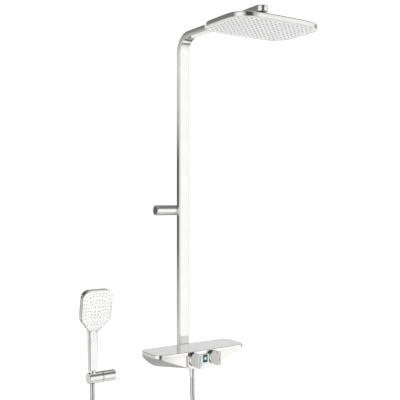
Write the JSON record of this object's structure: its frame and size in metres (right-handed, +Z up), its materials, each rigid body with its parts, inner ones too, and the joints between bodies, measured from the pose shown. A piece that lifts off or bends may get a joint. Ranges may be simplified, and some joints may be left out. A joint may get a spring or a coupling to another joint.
{
  "type": "rainfall shower column",
  "caption": "Wall-mounted shower column: bowed rectangular rain head on a flat arm, glass-topped thermostatic shelf mixer with two bar knobs, hand shower in a tilting wall holder and a hose.",
  "frame": {"origin": "on the wall plane, midway between the two water inlets, on their axis", "axes": "+X to the right seen from the room, -Y out of the wall into the room, +Z up"},
  "size_m": [0.5605, 0.607, 1.64],
  "materials": {
    "chrome": "mirror chrome plate",
    "plated_plastic": "chrome-plated ABS",
    "brass": "cast brass",
    "steel": "turned stainless steel",
    "rubber": "EPDM rubber",
    "silicone": "soft grey silicone",
    "acetal": "moulded acetal",
    "white_plastic": "glossy white ABS",
    "glass_top": "back-painted tempered glass, pale grey",
    "display_halo": "pale translucent surround",
    "display_glass": "dark glass",
    "board": "circuit board",
    "hose_skin": "smooth metallic-look PVC hose"
  },
  "bodies": {
    "root": {"column_tube": "chrome", "riser_pipe": "brass", "arm_end": "chrome", "riser_foot": "brass", "spigot_orings": "rubber", "bracket_barrel": "chrome", "bracket_core": "steel", "bracket_cap": "chrome", "bracket_post": "chrome", "ball_stem": "chrome", "stem_gasket": "rubber", "shelf_glass": "glass_top", "shelf_rim": "chrome", "mixer_housing": "plated_plastic", "control_panel": "plated_plastic", "display_bezel": "display_halo", "display_window": "display_glass", "display_board": "board", "valve_body": "brass", "inlet_unions": "chrome", "inlet_nuts": "chrome", "inlet_rosettes": "chrome", "inlet_strainers": "rubber", "flow_cartridge": "acetal", "thermo_cartridge": "acetal", "outlet_nipple": "brass", "outlet_nut": "chrome", "hose": "hose_skin", "holder_barrel": "chrome", "holder_core": "steel", "holder_end_ring": "chrome", "holder_post": "chrome"},
    "ball_cup": {"ball_cup": "acetal"},
    "rain_head": {"swivel_nut": "chrome", "head_shell": "chrome", "head_flange": "chrome", "spray_plate": "white_plastic", "nozzle_mat": "silicone", "flow_limiter": "acetal"},
    "flow_knob": {"flow_spindle": "brass", "flow_disc": "chrome", "flow_grip": "plated_plastic"},
    "temp_knob": {"thermo_spindle": "brass", "temp_disc": "chrome", "temp_grip": "plated_plastic"},
    "thermo_spool": {"thermo_spool": "acetal"},
    "stop_button": {"stop_button": "plated_plastic"},
    "hot_poppet": {"check_poppet_hot": "acetal"},
    "cold_poppet": {"check_poppet_cold": "acetal"},
    "holder_cup": {"holder_cup": "chrome", "holder_cup_cap": "chrome"},
    "hand_shower": {"cone_nut": "plated_plastic", "hose_ferrule": "steel", "hand_shell": "plated_plastic", "hand_face": "white_plastic", "hand_insert": "white_plastic", "hand_nozzle_mat": "silicone", "hand_waterway": "acetal", "button_spring": "steel"},
    "mode_button": {"mode_button": "white_plastic"}
  },
  "joints": [
    {"name": "head_tilt", "type": "hinge", "parent": "root", "child": "ball_cup", "pos_m": [0, -0.483, 1.054], "axis": [1, 0, 0], "range_deg": [-10, 10]},
    {"name": "head_roll", "type": "hinge", "parent": "ball_cup", "child": "rain_head", "pos_m": [0, -0.483, 1.054], "axis": [0, 1, 0], "range_deg": [-10, 10]},
    {"name": "flow_turn", "type": "hinge", "parent": "root", "child": "flow_knob", "pos_m": [-0.0385, -0.18, 0.005], "axis": [0, -1, 0], "range_deg": [-90, 90]},
    {"name": "temp_turn", "type": "hinge", "parent": "root", "child": "temp_knob", "pos_m": [0.0385, -0.18, 0.005], "axis": [0, -1, 0], "range_deg": [-180, 60]},
    {"name": "spool_travel", "type": "slide", "parent": "root", "child": "thermo_spool", "axis": [0, -1, 0], "range_m": [-0.0012, 0.0012]},
    {"name": "stop_press", "type": "slide", "parent": "temp_knob", "child": "stop_button", "axis": [0, 0, 1], "range_m": [0, 0.0015], "stiffness_N_per_m": 300, "springref_m": -0.001},
    {"name": "hot_poppet_lift", "type": "slide", "parent": "root", "child": "hot_poppet", "axis": [0, -1, 0], "range_m": [0, 0.003], "stiffness_N_per_m": 60, "springref_m": -0.001},
    {"name": "cold_poppet_lift", "type": "slide", "parent": "root", "child": "cold_poppet", "axis": [0, -1, 0], "range_m": [0, 0.003], "stiffness_N_per_m": 60, "springref_m": -0.001},
    {"name": "holder_tilt", "type": "hinge", "parent": "root", "child": "holder_cup", "pos_m": [-0.331, -0.032, -0.045], "axis": [1, 0, 0], "range_deg": [-4, 30]},
    {"name": "hand_swivel", "type": "hinge", "parent": "holder_cup", "child": "hand_shower", "pos_m": [-0.331, -0.032, -0.045], "axis": [0, 0, 1], "range_deg": [-30, 30]},
    {"name": "mode_press", "type": "slide", "parent": "hand_shower", "child": "mode_button", "axis": [0, 1, 0], "range_m": [0, 0.0015], "stiffness_N_per_m": 400, "springref_m": -0.001}
  ],
  "couplings": [
    {"joint": "spool_travel", "follows": "temp_turn", "m_per_rad": 0.0003}
  ]
}
